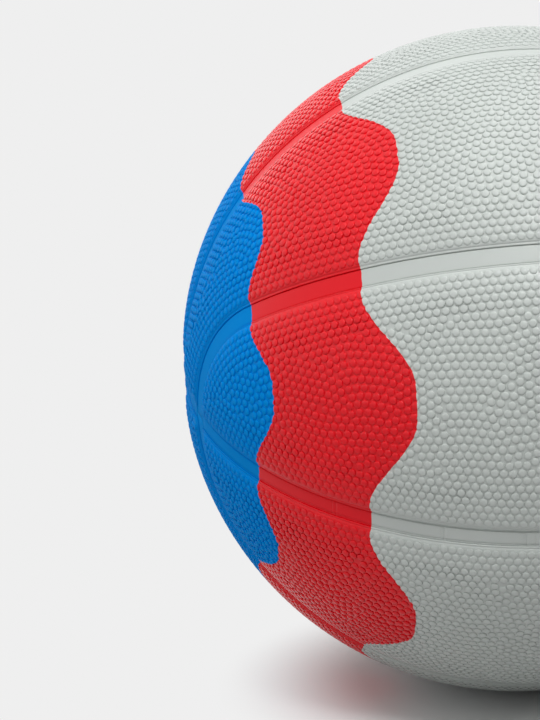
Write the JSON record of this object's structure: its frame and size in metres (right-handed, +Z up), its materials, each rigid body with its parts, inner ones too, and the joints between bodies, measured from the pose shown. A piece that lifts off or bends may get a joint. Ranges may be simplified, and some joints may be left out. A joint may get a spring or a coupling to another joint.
{
  "type": "basketball",
  "caption": "Inflatable rubber basketball with pebbled cover panels, recessed seam strips, a wound carcass, a bladder and a pull-out inflation valve core.",
  "frame": {"origin": "centre of the ball", "axes": "+X through the right-hand pole of the seam pattern, -Y the front as pictured, +Z up as the ball lies in the picture; the valve faces backwards and 19 degrees up"},
  "size_m": [0.2396, 0.24, 0.24],
  "materials": {
    "cover_rubber": "satin pebbled rubber, printed in pale grey, red and blue bands",
    "seam_rubber": "smooth satin rubber, printed with the cover",
    "carcass_rubber": "matt moulded rubber",
    "thread": "wound thread",
    "bladder_rubber": "smooth rubber",
    "valve_rubber": "moulded rubber",
    "valve_core_rubber": "smooth soft rubber"
  },
  "bodies": {
    "ball": {"panel_front_upper": "cover_rubber", "panel_front_lower": "cover_rubber", "panel_back_upper": "cover_rubber", "panel_back_lower": "cover_rubber", "panel_top_front": "cover_rubber", "panel_top_back": "cover_rubber", "panel_bottom_front": "cover_rubber", "panel_bottom_back": "cover_rubber", "seam_level_front": "seam_rubber", "seam_level_back": "seam_rubber", "seam_level_left": "seam_rubber", "seam_level_right": "seam_rubber", "seam_loop_front_upper": "seam_rubber", "seam_loop_front_lower": "seam_rubber", "seam_loop_back_upper": "seam_rubber", "seam_loop_back_lower": "seam_rubber", "seam_upright_top": "seam_rubber", "seam_upright_bottom": "seam_rubber", "carcass": "carcass_rubber", "thread_winding": "thread", "bladder": "bladder_rubber", "valve_patch": "valve_rubber", "valve_housing": "valve_rubber"},
    "core": {"valve_core": "valve_core_rubber"}
  },
  "joints": [
    {"name": "core_pull", "type": "slide", "parent": "ball", "child": "core", "axis": [0, 0.9455, 0.3256], "range_m": [0, 0.024]}
  ]
}
